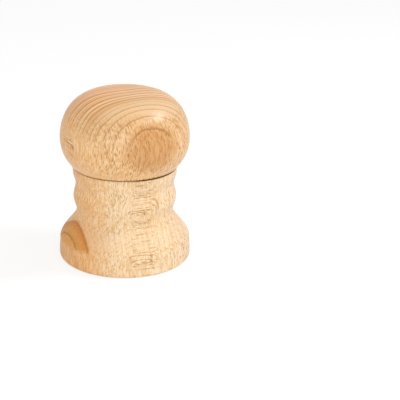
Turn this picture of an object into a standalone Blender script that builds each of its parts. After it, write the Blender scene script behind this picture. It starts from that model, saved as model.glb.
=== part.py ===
"""A turned beech gingerbread mold with a rotating scraper.

The body is a bell with a shallow dome in its foot. Dough is pressed into the dome, a round wafer is
laid over it, and turning the knob drives a steel bow round the dome, which frees the dough.
+Z is up, and the origin is the centre of the foot's rim, on the table. The dimensions here are in
millimetres and become metres where a mesh is made.
"""

import math

import bmesh
import bpy
import numpy as np
from mathutils import Matrix

MM = 0.001

# The gap between pieces that touch, and the facets of the turned pieces
CONTACT_GAP = 0.3
LARGE_SEGMENTS = 64
SMALL_SEGMENTS = 32
MERGE_DISTANCE = 0.00001
SHARP_ANGLE = math.radians(35)

# The body's outer curve as (height, radius) stations. It runs straight up at each station.
BODY_HEIGHT = 60.4
FOOT = (3.5, 42.5)
SHOULDER = (11.4, 42.1)
WAIST = (31.0, 31.05)
BEAD = (40.0, 33.0)
COVE = (48.9, 31.5)
LIP = (57.5, 33.2)
LIP_TOP = (59.8, 33.1)
CURVE_STEPS = (2, 8, 4, 4, 4, 1)
FOOT_EDGE_ROUND = 1.8
LIP_EDGE_ROUND = 0.6

# The dome in the foot, sized for a 70 mm baking wafer
MOUTH_RADIUS = 35.0
DOME_DEPTH = 21.0
MOUTH_EDGE_ROUND = 0.6

# The knob is a flattened ball over a thin open seam. A fullness of 0.5 would make it an ellipse.
SEAM_GAP = 0.7
KNOB_RADIUS = 40.95
KNOB_WIDEST_HEIGHT = 79.0
KNOB_TOP_HEIGHT = 109.0
KNOB_UNDERSIDE_DEPTH = 25.4
KNOB_FULLNESS = 0.303
KNOB_EDGE_HEIGHT = 0.9
KNOB_EDGE_ROUND = 0.4

# The spindle that joins the knob to the bow
SHANK_RADIUS = 4.0
SHOULDER_RISE = 0.1
THREAD_RADIUS = 3.0
THREAD_TOP_HEIGHT = 76.0
THREAD_CHAMFER = 0.8
HEAD_RADIUS = 8.0
HEAD_RIM = 0.6
HEAD_DROP = 1.8
NECK_FLATS = 8.4
NECK_ROOT = 0.5

# The scraper bow is a steel strip with an eye at its centre
BOW_THICKNESS = 1.0
BOW_HALF_WIDTH = 3.0
BOW_EYE_RADIUS = 8.5
BOW_TO_DOME_GAP = 0.5
BOW_END_HEIGHT = 1.2
BOW_TIP_HALF_WIDTH = 1.3

# The thrust washers, which take the wear off the wood
LOWER_WASHER_RADIUS = 9.0
LOWER_WASHER_THICKNESS = 1.6
LOWER_SEAT_HEIGHT = 21.2
UPPER_WASHER_RADIUS = 11.0
UPPER_WASHER_THICKNESS = 1.1
UPPER_SEAT_DEPTH = 1.0
SEAT_PLAY = 0.5

# The threaded insert in the knob, and the split washer that locks the spindle to it
LOCK_WASHER_RADIUS = 5.9
LOCK_WASHER_THICKNESS = 1.6
LOCK_WASHER_SLIT = 1.0
LOCK_WASHER_SLANT = math.radians(25)
INSERT_RADIUS = 6.0
INSERT_FLANGE_RADIUS = 7.7
INSERT_FLANGE_THICKNESS = 1.2
INSERT_TOP_HEIGHT = 77.2

# Sizes that follow from those above
BORE_RADIUS = SHANK_RADIUS + CONTACT_GAP
TAPPED_RADIUS = THREAD_RADIUS + CONTACT_GAP
DOME_RADIUS = (MOUTH_RADIUS**2 + DOME_DEPTH**2) / (2 * DOME_DEPTH)
DOME_CENTRE = DOME_DEPTH - DOME_RADIUS
LOWER_SEAT_RADIUS = LOWER_WASHER_RADIUS + SEAT_PLAY
UPPER_SEAT_RADIUS = UPPER_WASHER_RADIUS + SEAT_PLAY
UPPER_SEAT_HEIGHT = BODY_HEIGHT - UPPER_SEAT_DEPTH
KNOB_BASE_HEIGHT = BODY_HEIGHT + SEAM_GAP
LOWER_WASHER_TOP = LOWER_SEAT_HEIGHT - CONTACT_GAP
LOWER_WASHER_BASE = LOWER_WASHER_TOP - LOWER_WASHER_THICKNESS
UPPER_WASHER_BASE = UPPER_SEAT_HEIGHT + CONTACT_GAP
UPPER_WASHER_TOP = UPPER_WASHER_BASE + UPPER_WASHER_THICKNESS
BOW_TOP = LOWER_WASHER_BASE - CONTACT_GAP
HEAD_TOP = BOW_TOP - BOW_THICKNESS - CONTACT_GAP
HEAD_BASE = HEAD_TOP - HEAD_RIM - HEAD_DROP
SPINDLE_SHOULDER = UPPER_WASHER_TOP + SHOULDER_RISE
LOCK_WASHER_BASE = SPINDLE_SHOULDER + CONTACT_GAP
LOCK_WASHER_TOP = LOCK_WASHER_BASE + LOCK_WASHER_THICKNESS
INSERT_BASE = LOCK_WASHER_TOP + CONTACT_GAP
INSERT_SHOULDER = INSERT_BASE + INSERT_FLANGE_THICKNESS

# The bow's mid-line: level across the eye, then along the dome at a constant gap
BOW_LINE_RADIUS = DOME_RADIUS - BOW_TO_DOME_GAP - BOW_THICKNESS / 2
BOW_LINE_TOP = BOW_TOP - BOW_THICKNESS / 2
BOW_BEND_ANGLE = math.acos((BOW_LINE_TOP - DOME_CENTRE) / BOW_LINE_RADIUS)
BOW_END_ANGLE = math.acos((BOW_END_HEIGHT - DOME_CENTRE) / BOW_LINE_RADIUS)
BOW_BEND_PLACE = BOW_LINE_RADIUS * math.sin(BOW_BEND_ANGLE)
BOW_REACH = BOW_BEND_PLACE + BOW_LINE_RADIUS * (BOW_END_ANGLE - BOW_BEND_ANGLE)


def clear_scene():
    for old in list(bpy.data.objects):
        bpy.data.objects.remove(old)


def new_collection(name):
    made = bpy.data.collections.new(name)
    bpy.context.scene.collection.children.link(made)
    return made


def principled(name, colour, roughness, metallic=0.0):
    material = bpy.data.materials.new(name)
    material.use_nodes = True
    shader = material.node_tree.nodes["Principled BSDF"]
    shader.inputs["Base Color"].default_value = (*colour, 1.0)
    shader.inputs["Roughness"].default_value = roughness
    shader.inputs["Metallic"].default_value = metallic
    return material


def add_object(name, mesh, collection):
    made = bpy.data.objects.new(name, mesh)
    collection.objects.link(made)
    return made


def apply_and_shade(made, material):
    """Applies the modifiers, then shades the mesh smooth with its corners sharp."""
    depsgraph = bpy.context.evaluated_depsgraph_get()
    mesh = bpy.data.meshes.new_from_object(made.evaluated_get(depsgraph))
    mesh.name = made.name
    mesh.shade_smooth()
    mesh.set_sharp_from_angle(angle=SHARP_ANGLE)
    mesh.materials.clear()
    mesh.materials.append(material)
    made.modifiers.clear()
    made.data = mesh


def boolean(target, tool, operation):
    modifier = target.modifiers.new(operation.lower(), "BOOLEAN")
    modifier.operation = operation
    modifier.solver = "EXACT"
    modifier.object = tool


def block(name, size, centre_height, collection):
    """A hidden box on the axis, of size (x, y, z), which cuts or joins a piece."""
    mesh = bpy.data.meshes.new(name)
    work = bmesh.new()
    bmesh.ops.create_cube(work, size=MM, matrix=Matrix.Diagonal((*size, 1)))
    work.to_mesh(mesh)
    work.free()
    made = add_object(name, mesh, collection)
    made.location.z = centre_height * MM
    made.hide_render = True
    made.display_type = "WIRE"
    return made


def arc(centre, radius, start, end, steps):
    """Points of an arc round a (radius, height) centre. Angles are in degrees, 90 is up."""
    angles = np.radians(np.linspace(start, end, steps + 1))
    return [(centre[0] + radius * math.cos(a), centre[1] + radius * math.sin(a)) for a in angles]


def easing_curve(stations, steps):
    """Points down from the top station, on a curve that runs straight up at each station."""
    points = [stations[-1][::-1]]
    spans = list(zip(stations, stations[1:], steps))
    for (low, low_radius), (high, high_radius), count in reversed(spans):
        for t in np.linspace(1, 0, count + 1)[1:]:
            ease = t * t * (3 - 2 * t)
            points.append((low_radius + (high_radius - low_radius) * ease, low + (high - low) * t))
    return points


def turned(name, outline, collection, segments=SMALL_SEGMENTS):
    """Turns an outline of (radius, height) points, which runs down the outer side, top to bottom."""
    mesh = bpy.data.meshes.new(name)
    edges = [(i, i + 1) for i in range(len(outline) - 1)]
    if outline[0][0] > 0:
        edges.append((len(outline) - 1, 0))
    mesh.from_pydata([(radius * MM, 0, height * MM) for radius, height in outline], edges, [])
    made = add_object(name, mesh, collection)
    screw = made.modifiers.new("turn", "SCREW")
    screw.axis = "Z"
    screw.steps = segments
    screw.render_steps = segments
    screw.use_merge_vertices = True
    screw.merge_threshold = MERGE_DISTANCE
    return made


def washer_outline(inner, outer, base, top):
    return [(inner, top), (outer, top), (outer, base), (inner, base)]


def knob_radius(height):
    """The knob's radius at a height, on a squared ellipse above its widest place and one below."""
    above = height > KNOB_WIDEST_HEIGHT
    reach = KNOB_TOP_HEIGHT - KNOB_WIDEST_HEIGHT if above else KNOB_UNDERSIDE_DEPTH
    share = (height - KNOB_WIDEST_HEIGHT) / reach
    return KNOB_RADIUS * max(0.0, 1 - share**2) ** KNOB_FULLNESS


def knob_curve():
    """The knob's outer curve, from its pole to the edge over the seam."""
    crown = KNOB_TOP_HEIGHT - KNOB_WIDEST_HEIGHT
    edge = KNOB_BASE_HEIGHT + KNOB_EDGE_HEIGHT
    points = [(0.0, KNOB_TOP_HEIGHT)]
    for angle in np.linspace(0, math.pi / 2, 14)[1:]:
        height = KNOB_WIDEST_HEIGHT + crown * math.cos(angle)
        points.append((knob_radius(height), height))
    for height in np.linspace(KNOB_WIDEST_HEIGHT, edge, 8)[1:]:
        points.append((knob_radius(height), float(height)))
    return points


def make_body(collection, material):
    stations = (FOOT, SHOULDER, WAIST, BEAD, COVE, LIP, LIP_TOP)
    foot_radius = FOOT[1] - FOOT_EDGE_ROUND
    lip_radius = LIP_TOP[1] - LIP_EDGE_ROUND
    mouth_angle = math.degrees(math.asin((MOUTH_EDGE_ROUND - DOME_CENTRE) / DOME_RADIUS))
    seat_angle = math.degrees(math.acos(LOWER_SEAT_RADIUS / DOME_RADIUS))
    outline = [(UPPER_SEAT_RADIUS, BODY_HEIGHT)]
    outline += arc((lip_radius, LIP_TOP[0]), LIP_EDGE_ROUND, 90, 30, 2)
    outline += easing_curve(stations, CURVE_STEPS)
    outline += arc((foot_radius, FOOT_EDGE_ROUND), FOOT_EDGE_ROUND, 0, -90, 3)
    outline += [(MOUTH_RADIUS + MOUTH_EDGE_ROUND, 0)]
    outline += arc((0, DOME_CENTRE), DOME_RADIUS, mouth_angle, seat_angle, 9)
    outline += [
        (LOWER_SEAT_RADIUS, LOWER_SEAT_HEIGHT),
        (BORE_RADIUS, LOWER_SEAT_HEIGHT),
        (BORE_RADIUS, UPPER_SEAT_HEIGHT),
        (UPPER_SEAT_RADIUS, UPPER_SEAT_HEIGHT),
    ]
    body = turned("mold_body", outline, collection, LARGE_SEGMENTS)
    apply_and_shade(body, material)


def make_knob(collection, material):
    """The knob, with a stepped pocket underneath for the lock washer and the threaded insert."""
    flange_pocket = INSERT_FLANGE_RADIUS + CONTACT_GAP
    sleeve_pocket = INSERT_RADIUS + CONTACT_GAP
    outline = knob_curve()
    edge_radius = outline[-1][0] - KNOB_EDGE_ROUND
    outline += arc((edge_radius, KNOB_BASE_HEIGHT + KNOB_EDGE_ROUND), KNOB_EDGE_ROUND, 0, -90, 2)
    outline += [
        (flange_pocket, KNOB_BASE_HEIGHT),
        (flange_pocket, INSERT_SHOULDER + CONTACT_GAP),
        (sleeve_pocket, INSERT_SHOULDER + CONTACT_GAP),
        (sleeve_pocket, INSERT_TOP_HEIGHT + CONTACT_GAP),
        (0.0, INSERT_TOP_HEIGHT + CONTACT_GAP),
    ]
    knob = turned("knob", outline, collection, LARGE_SEGMENTS)
    apply_and_shade(knob, material)


def make_spindle(collection, material, guides):
    """A pin with a button head, a square neck that drives the bow, a smooth shank and a thread."""
    outline = [
        (0.0, THREAD_TOP_HEIGHT),
        (THREAD_RADIUS - THREAD_CHAMFER, THREAD_TOP_HEIGHT),
        (THREAD_RADIUS, THREAD_TOP_HEIGHT - THREAD_CHAMFER),
        (THREAD_RADIUS, SPINDLE_SHOULDER),
        (SHANK_RADIUS, SPINDLE_SHOULDER),
        (SHANK_RADIUS, HEAD_TOP),
        (HEAD_RADIUS, HEAD_TOP),
    ]
    for angle in np.radians(np.linspace(0, 75, 6)):
        height = HEAD_BASE + HEAD_DROP * (1 - math.sin(angle))
        outline.append((HEAD_RADIUS * math.cos(angle), height))
    outline.append((0.0, HEAD_BASE))
    spindle = turned("spindle", outline, collection)
    neck_base = HEAD_TOP - NECK_ROOT
    neck_height = BOW_TOP - neck_base
    neck_size = (NECK_FLATS, NECK_FLATS, neck_height)
    neck = block("neck_guide", neck_size, neck_base + neck_height / 2, guides)
    boolean(spindle, neck, "UNION")
    apply_and_shade(spindle, material)


def bow_point(distance):
    """The (x, z) of the bow's mid-line at a distance along it from the axis."""
    if distance <= BOW_BEND_PLACE:
        return distance, BOW_LINE_TOP
    angle = BOW_BEND_ANGLE + (distance - BOW_BEND_PLACE) / BOW_LINE_RADIUS
    return BOW_LINE_RADIUS * math.sin(angle), DOME_CENTRE + BOW_LINE_RADIUS * math.cos(angle)


def bow_half_width(distance):
    """Half the strip's width: a round eye, a straight arm and a rounded tip."""
    to_tip = min(1.0, (BOW_REACH - distance) / BOW_HALF_WIDTH)
    rounding = math.sqrt(max(0.0, 1 - (1 - to_tip) ** 2))
    arm = BOW_TIP_HALF_WIDTH + (BOW_HALF_WIDTH - BOW_TIP_HALF_WIDTH) * rounding
    eye = math.sqrt(max(0.0, BOW_EYE_RADIUS**2 - distance**2))
    return max(arm, eye)


def make_bow(collection, material, guides):
    """The strip as one row of faces along its mid-line, thickened, with a square hole in the eye."""
    eye_end = math.acos(BOW_HALF_WIDTH / BOW_EYE_RADIUS)
    arm_end = BOW_REACH - BOW_HALF_WIDTH
    places = [BOW_EYE_RADIUS * math.sin(a) for a in np.linspace(0, eye_end, 8)]
    places += list(np.linspace(BOW_BEND_PLACE, arm_end, 11))
    places += [arm_end + BOW_HALF_WIDTH * math.sin(a) for a in np.radians((30, 60, 90))]
    places = [-place for place in places[:0:-1]] + places
    last = len(places) - 1
    mesh = bpy.data.meshes.new("scraper_bow")
    work = bmesh.new()
    bmesh.ops.create_grid(work, x_segments=last, y_segments=1, size=1)
    for vert in work.verts:
        place = places[round((vert.co.x + 1) / 2 * last)]
        x, z = bow_point(abs(place))
        y = math.copysign(bow_half_width(abs(place)), vert.co.y)
        vert.co = (math.copysign(x, place) * MM, y * MM, z * MM)
    work.to_mesh(mesh)
    work.free()
    bow = add_object("scraper_bow", mesh, collection)
    sheet = bow.modifiers.new("sheet", "SOLIDIFY")
    sheet.thickness = BOW_THICKNESS * MM
    sheet.offset = 0
    sheet.use_even_offset = True
    hole = NECK_FLATS + 2 * CONTACT_GAP
    cutter = block("hole_guide", (hole, hole, 4 * BOW_THICKNESS), BOW_TOP, guides)
    boolean(bow, cutter, "DIFFERENCE")
    apply_and_shade(bow, material)


def make_thrust_washers(collection, material):
    for name, radius, base, top in (
        ("lower_thrust_washer", LOWER_WASHER_RADIUS, LOWER_WASHER_BASE, LOWER_WASHER_TOP),
        ("upper_thrust_washer", UPPER_WASHER_RADIUS, UPPER_WASHER_BASE, UPPER_WASHER_TOP),
    ):
        washer = turned(name, washer_outline(BORE_RADIUS, radius, base, top), collection)
        apply_and_shade(washer, material)


def make_lock_washer(collection, material, guides):
    """A spring washer: a ring with one slanted slit."""
    outline = washer_outline(TAPPED_RADIUS, LOCK_WASHER_RADIUS, LOCK_WASHER_BASE, LOCK_WASHER_TOP)
    washer = turned("lock_washer", outline, collection)
    middle = (LOCK_WASHER_BASE + LOCK_WASHER_TOP) / 2
    size = (LOCK_WASHER_RADIUS, LOCK_WASHER_SLIT, 3 * LOCK_WASHER_THICKNESS)
    slit = block("slit_guide", size, middle, guides)
    slit.location.x = (TAPPED_RADIUS + LOCK_WASHER_RADIUS) / 2 * MM
    slit.rotation_euler.x = LOCK_WASHER_SLANT
    boolean(washer, slit, "DIFFERENCE")
    apply_and_shade(washer, material)


def make_insert(collection, material):
    """The flanged brass sleeve that the spindle's thread screws into."""
    outline = [
        (TAPPED_RADIUS, INSERT_TOP_HEIGHT),
        (INSERT_RADIUS, INSERT_TOP_HEIGHT),
        (INSERT_RADIUS, INSERT_SHOULDER),
        (INSERT_FLANGE_RADIUS, INSERT_SHOULDER),
        (INSERT_FLANGE_RADIUS, INSERT_BASE),
        (TAPPED_RADIUS, INSERT_BASE),
    ]
    apply_and_shade(turned("knob_insert", outline, collection), material)


def make_mold():
    clear_scene()
    mold = new_collection("gingerbread_mold")
    guides = new_collection("guides")
    beech = principled("beech", (0.80, 0.54, 0.31), 0.45)
    knob_beech = principled("knob_beech", (0.74, 0.47, 0.25), 0.42)
    stainless = principled("stainless_steel", (0.62, 0.61, 0.59), 0.28, 1.0)
    zinc = principled("zinc_plate", (0.66, 0.66, 0.64), 0.4, 1.0)
    brass = principled("brass", (0.72, 0.53, 0.25), 0.35, 1.0)
    make_body(mold, beech)
    make_knob(mold, knob_beech)
    make_spindle(mold, stainless, guides)
    make_bow(mold, stainless, guides)
    make_thrust_washers(mold, stainless)
    make_lock_washer(mold, zinc, guides)
    make_insert(mold, brass)


make_mold()
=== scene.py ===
"""The looks of a turned beech gingerbread mold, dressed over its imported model.

Lengths and places are in millimetres here and become metres where a mesh, lamp or camera is made.
Azimuths are in degrees from -Y, where the camera stands, towards +X, which is on its right.
"""

import math
from collections import namedtuple

import bmesh
import bpy
import numpy as np
from mathutils import Matrix, Vector


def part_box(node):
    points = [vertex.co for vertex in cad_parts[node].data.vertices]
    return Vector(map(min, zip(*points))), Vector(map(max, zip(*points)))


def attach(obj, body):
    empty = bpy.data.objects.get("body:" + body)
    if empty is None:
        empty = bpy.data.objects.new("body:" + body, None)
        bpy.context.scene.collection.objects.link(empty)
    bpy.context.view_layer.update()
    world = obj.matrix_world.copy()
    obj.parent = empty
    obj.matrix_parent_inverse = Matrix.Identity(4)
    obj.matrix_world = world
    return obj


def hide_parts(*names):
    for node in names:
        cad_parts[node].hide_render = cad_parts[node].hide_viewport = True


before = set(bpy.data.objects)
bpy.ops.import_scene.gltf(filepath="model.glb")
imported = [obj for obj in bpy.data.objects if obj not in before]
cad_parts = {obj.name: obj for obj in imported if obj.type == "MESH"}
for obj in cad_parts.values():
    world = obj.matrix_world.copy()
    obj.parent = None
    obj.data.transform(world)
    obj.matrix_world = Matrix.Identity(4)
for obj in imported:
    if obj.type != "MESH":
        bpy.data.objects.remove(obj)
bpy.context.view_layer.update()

MM = 0.001


def corners(node):
    """Lowest and highest corner of a CAD node."""
    return tuple(Vector(corner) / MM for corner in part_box(node))


BODY_HIGH = corners("mold_body")[1]
KNOB_LOW, KNOB_HIGH = corners("knob")
SPINDLE_LOW, SPINDLE_HIGH = corners("spindle")
BOW_HIGH = corners("scraper_bow")[1]
LOCK_LOW, LOCK_HIGH = corners("lock_washer")
INSERT_LOW, INSERT_HIGH = corners("knob_insert")

# Fineness of the pieces
LARGE_SEGMENTS = 256
SMALL_SEGMENTS = 96
CURVE_STEP = 0.7
ROUND_STEPS = 5
FOOT_EDGE_STEPS = 8
CORNER_STEPS = 3
BLOCK_EDGE_STEPS = 4
DOME_STEPS = 40
KNOB_CROWN_POINTS = 64
KNOB_UNDERSIDE_POINTS = 26
BOW_EYE_POINTS = 16
BOW_ARM_POINTS = 32
BOW_TIP_ANGLES = (15, 30, 45, 60, 75, 90)
HEAD_STEPS = 12
FLOOR_SEGMENTS = 64
SHARP_ANGLE = math.radians(40)
THREAD_ROWS = 12

# The body's outer curve as (height, radius) stations. It runs straight up at each station.
FOOT = (3.5, BODY_HIGH.x)
SHOULDER = (11.4, 42.1)
WAIST = (31.0, 31.05)
BEAD = (40.0, 33.0)
COVE = (48.9, 31.5)
LIP = (57.5, 33.2)
LIP_TOP = (59.8, 33.1)
FOOT_EDGE_ROUND = 1.8
LIP_EDGE_ROUND = 0.6
CUT_EDGE_ROUND = 0.25

# The dome, and the seats of the washers, as (radius, height)
MOUTH_RADIUS = 35.0
DOME_DEPTH = 21.0
DOME_RADIUS = (MOUTH_RADIUS**2 + DOME_DEPTH**2) / (2 * DOME_DEPTH)
DOME_CENTRE = DOME_DEPTH - DOME_RADIUS
MOUTH_EDGE_ROUND = 0.6
LOWER_SEAT = (9.5, 21.2)
UPPER_SEAT = (11.5, 59.4)
BORE_RADIUS = 4.3

# The knob is a flattened ball. A fullness of 0.5 would make it an ellipse.
KNOB_WIDEST_HEIGHT = 79.0
KNOB_UNDERSIDE_DEPTH = 25.4
KNOB_FULLNESS = 0.303
KNOB_EDGE_HEIGHT = 0.9
KNOB_EDGE_ROUND = 0.4
FLANGE_POCKET = (8.0, 64.6)
SLEEVE_POCKET = (6.3, 77.5)

# The bow is a strip of steel, level across its eye and then along the dome
BOW_THICKNESS = 1.0
BOW_HALF_WIDTH = 3.0
BOW_TIP_HALF_WIDTH = 1.3
BOW_EYE_RADIUS = BOW_HIGH.y
BOW_TO_DOME_GAP = 0.5
BOW_END_HEIGHT = 1.2
BOW_HOLE = 9.0
BOW_HOLE_ROUND = 0.5
BOW_EDGE_ROUND = 0.22

# The spindle, with a metric thread, and the insert, with a coarse wood thread round it
SHANK_RADIUS = 4.0
HEAD_RIM = 0.6
HEAD_DROP = 1.8
HEAD_TOP = SPINDLE_LOW.z + HEAD_RIM + HEAD_DROP
NECK_FLATS = 8.4
NECK_EDGE_ROUND = 0.5
NECK_IN_HEAD = 0.5
SPINDLE_SHOULDER = 60.9
METRIC_RADIUS = 3.0
METRIC_PITCH = 1.0
METRIC_DEPTH = 0.55
METRIC_PLAY = 0.12
SPINDLE_END = 2.0
SPINDLE_END_ROUND = 0.8
PLAIN_END = 1.0
METAL_EDGE_ROUND = 0.2
INSERT_RADIUS = 6.0
INSERT_FLANGE_THICKNESS = 1.2
INSERT_BORE_CHAMFER = 0.6
INSERT_PLAIN_BORE = 0.7
WOOD_THREAD_PITCH = 2.4
WOOD_THREAD_DEPTH = 0.8

# How deep a thread's groove is at its middle, before 1 caps it, and how fast it gets less from there
GROOVE_MIDDLE = 1.35
GROOVE_SLOPE = 3.1

# The lock washer is a ring that is split on a slant
LOCK_WASHER_SLIT = 1.0
LOCK_WASHER_SLANT = math.radians(25)
LOCK_WASHER_BORE = 3.3

# The camera, and where it stands in front of the mold
CAMERA_PLACE = (0.0, -564.3, 254.0)
CAMERA_TARGET = (0.0, 0.0, 50.0)
CAMERA_LENS = 84.37
CAMERA_SHIFT = (0.188, -0.052)

# Stage and light
FLOOR_RADIUS = 4000.0
FLOOR_TONE = 0.86
FLOOR_GLOW = 0.72
FLOOR_SHADE = 0.34
AMBIENT = 0.66
# Each softbox has a name, azimuth, elevation, distance, width and power in watts
SOFTBOXES = (
    ("key_softbox", 92.0, 45.0, 900.0, 210.0, 2.85),
    ("front_softbox", -8.0, 12.0, 1400.0, 1000.0, 7.2),
)


def facing(azimuth):
    """The level unit vector at an azimuth."""
    angle = math.radians(azimuth)
    return Vector((math.sin(angle), -math.cos(angle), 0.0))


# Meshes


def arc(centre, radius, start, end, steps=ROUND_STEPS):
    """Points of an arc round a (radius, height) centre. Angles are in degrees, 90 is up."""
    angles = np.radians(np.linspace(start, end, steps + 1))
    return [(centre[0] + radius * math.cos(a), centre[1] + radius * math.sin(a)) for a in angles]


def easing_curve(stations):
    """Points down from the top station, on a curve that runs straight up at each station."""
    points = [stations[-1][::-1]]
    for (low, low_radius), (high, high_radius) in reversed(list(zip(stations, stations[1:]))):
        count = max(2, round((high - low) / CURVE_STEP))
        for t in np.linspace(1, 0, count + 1)[1:]:
            ease = t * t * (3 - 2 * t)
            points.append((low_radius + (high_radius - low_radius) * ease, low + (high - low) * t))
    return points


def rounded(outline, radius, steps=CORNER_STEPS):
    """The outline with each inner corner rounded, from the radius before it to the radius after it."""
    result = [outline[0]]
    for before, corner, after in zip(outline, outline[1:], outline[2:]):
        here = Vector(corner)
        back = (Vector(before) - here).normalized() * radius
        on = (Vector(after) - here).normalized() * radius
        for t in np.linspace(0, 1, steps + 1):
            result.append(tuple(here + back * (1 - t) ** 2 + on * t**2))
    result.append(outline[-1])
    return result


def upright(radius, top, base, step):
    """Points straight down from the top to the base, which are left out, about a step apart."""
    count = max(2, round((top - base) / step))
    return [(radius, float(height)) for height in np.linspace(top, base, count + 1)[1:-1]]


def turned(name, outline, segments=SMALL_SEGMENTS, thread=None):
    """Turns an outline of (radius, height) points, which runs down the outer side, top to bottom.

    It closes on itself unless it starts on the axis. A thread gives the radius to add to a point
    of the outline at an angle.
    """
    work = bmesh.new()
    angles = np.linspace(0, 2 * math.pi, segments, endpoint=False)
    rows = []
    for radius, height in outline:
        if radius <= 0:
            rows.append([work.verts.new((0, 0, height * MM))] * segments)
            continue
        row = []
        for angle in angles:
            reach = radius + (thread(radius, height, angle) if thread else 0.0)
            place = Vector((reach * math.cos(angle), reach * math.sin(angle), height))
            row.append(work.verts.new(place * MM))
        rows.append(row)
    if outline[0][0] > 0:
        rows.append(rows[0])
    for upper, lower in zip(rows, rows[1:]):
        for step in range(segments):
            after = (step + 1) % segments
            around = dict.fromkeys((upper[step], lower[step], lower[after], upper[after]))
            if len(around) > 2:
                work.faces.new(around)
    return finished(name, work)


def finished(name, work):
    mesh = bpy.data.meshes.new(name)
    work.to_mesh(mesh)
    work.free()
    return mesh


def block_mesh(name, size, centre_height, edge_round):
    """A box on the axis, of size (x, y, z), with its upright edges rounded."""
    work = bmesh.new()
    bmesh.ops.create_cube(work, size=MM, matrix=Matrix.Diagonal((*size, 1)))
    upright_edges = [e for e in work.edges if abs(e.verts[0].co.z - e.verts[1].co.z) > size[2] * MM / 2]
    bmesh.ops.bevel(
        work,
        geom=upright_edges,
        offset=edge_round * MM,
        segments=BLOCK_EDGE_STEPS,
        profile=0.5,
        affect="EDGES",
    )
    bmesh.ops.translate(work, verts=work.verts, vec=(0, 0, centre_height * MM))
    return finished(name, work)


def combined(mesh, tool_mesh, operation, edge_round=0.0):
    """The mesh after a Boolean with the tool, and then, if asked for, with its edges rounded."""
    target = bpy.data.objects.new(mesh.name, mesh)
    tool = bpy.data.objects.new(tool_mesh.name, tool_mesh)
    for made in (target, tool):
        bpy.context.scene.collection.objects.link(made)
    boolean = target.modifiers.new("combine", "BOOLEAN")
    boolean.operation = operation
    boolean.solver = "EXACT"
    boolean.object = tool
    if edge_round:
        bevel = target.modifiers.new("edges", "BEVEL")
        bevel.width = edge_round * MM
        bevel.segments = CORNER_STEPS
        bevel.limit_method = "ANGLE"
        bevel.angle_limit = SHARP_ANGLE
    depsgraph = bpy.context.evaluated_depsgraph_get()
    result = bpy.data.meshes.new_from_object(target.evaluated_get(depsgraph))
    for made in (target, tool):
        bpy.data.objects.remove(made)
    return result


def add_piece(name, mesh, material, body, node):
    """A piece that stands for a CAD node, rides on its body and takes its finish from a slot."""
    mesh.name = name
    mesh.shade_smooth()
    mesh.set_sharp_from_angle(angle=SHARP_ANGLE)
    mesh.materials.clear()
    mesh.materials.append(material)
    piece = bpy.data.objects.new(name, mesh)
    bpy.context.scene.collection.objects.link(piece)
    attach(piece, body)
    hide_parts(node)


def body_mesh():
    """The bell: its outer curve, a rounded foot, the dome, the seats and the bore."""
    stations = (FOOT, SHOULDER, WAIST, BEAD, COVE, LIP, LIP_TOP)
    foot_centre = (FOOT[1] - FOOT_EDGE_ROUND, FOOT_EDGE_ROUND)
    lip_centre = (LIP_TOP[1] - LIP_EDGE_ROUND, LIP_TOP[0])
    mouth_angle = math.degrees(math.asin((MOUTH_EDGE_ROUND - DOME_CENTRE) / DOME_RADIUS))
    seat_angle = math.degrees(math.acos(LOWER_SEAT[0] / DOME_RADIUS))
    dome = arc((0, DOME_CENTRE), DOME_RADIUS, mouth_angle, seat_angle, DOME_STEPS)
    mouth = [(foot_centre[0], 0), (MOUTH_RADIUS, 0), dome[0]]
    cuts = [
        dome[-1],
        LOWER_SEAT,
        (BORE_RADIUS, LOWER_SEAT[1]),
        (BORE_RADIUS, UPPER_SEAT[1]),
        UPPER_SEAT,
        (UPPER_SEAT[0], BODY_HIGH.z),
        (lip_centre[0], BODY_HIGH.z),
    ]
    outline = arc(lip_centre, LIP_EDGE_ROUND, 90, 0)
    outline += easing_curve(stations)[1:]
    outline += arc(foot_centre, FOOT_EDGE_ROUND, 0, -90, FOOT_EDGE_STEPS)
    outline += rounded(mouth, MOUTH_EDGE_ROUND)[1:-1]
    outline += dome[1:]
    outline += rounded(cuts, CUT_EDGE_ROUND)[1:-1]
    return turned("body", outline, LARGE_SEGMENTS)


def knob_radius(height):
    """The knob's radius at a height, on a squared ellipse above its widest place and one below."""
    above = height > KNOB_WIDEST_HEIGHT
    reach = KNOB_HIGH.z - KNOB_WIDEST_HEIGHT if above else KNOB_UNDERSIDE_DEPTH
    share = (height - KNOB_WIDEST_HEIGHT) / reach
    return KNOB_HIGH.x * max(0.0, 1 - share**2) ** KNOB_FULLNESS


def knob_mesh():
    """The knob, with the pocket in its underside for the insert and the lock washer."""
    crown = KNOB_HIGH.z - KNOB_WIDEST_HEIGHT
    edge = KNOB_LOW.z + KNOB_EDGE_HEIGHT
    crown_angles = np.linspace(0, math.pi / 2, KNOB_CROWN_POINTS)[1:]
    heights = [KNOB_WIDEST_HEIGHT + crown * math.cos(angle) for angle in crown_angles]
    underside = np.linspace(KNOB_WIDEST_HEIGHT, edge, KNOB_UNDERSIDE_POINTS)[1:]
    heights += [float(height) for height in underside]
    outline = [(0.0, KNOB_HIGH.z)] + [(knob_radius(height), height) for height in heights]
    edge_centre = (outline[-1][0] - KNOB_EDGE_ROUND, KNOB_LOW.z + KNOB_EDGE_ROUND)
    outline += arc(edge_centre, KNOB_EDGE_ROUND, 0, -90)
    pocket = [
        outline[-1],
        (FLANGE_POCKET[0], KNOB_LOW.z),
        FLANGE_POCKET,
        (SLEEVE_POCKET[0], FLANGE_POCKET[1]),
        SLEEVE_POCKET,
        (0.0, SLEEVE_POCKET[1]),
    ]
    outline += rounded(pocket, CUT_EDGE_ROUND)[1:]
    return turned("knob", outline, LARGE_SEGMENTS)


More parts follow.
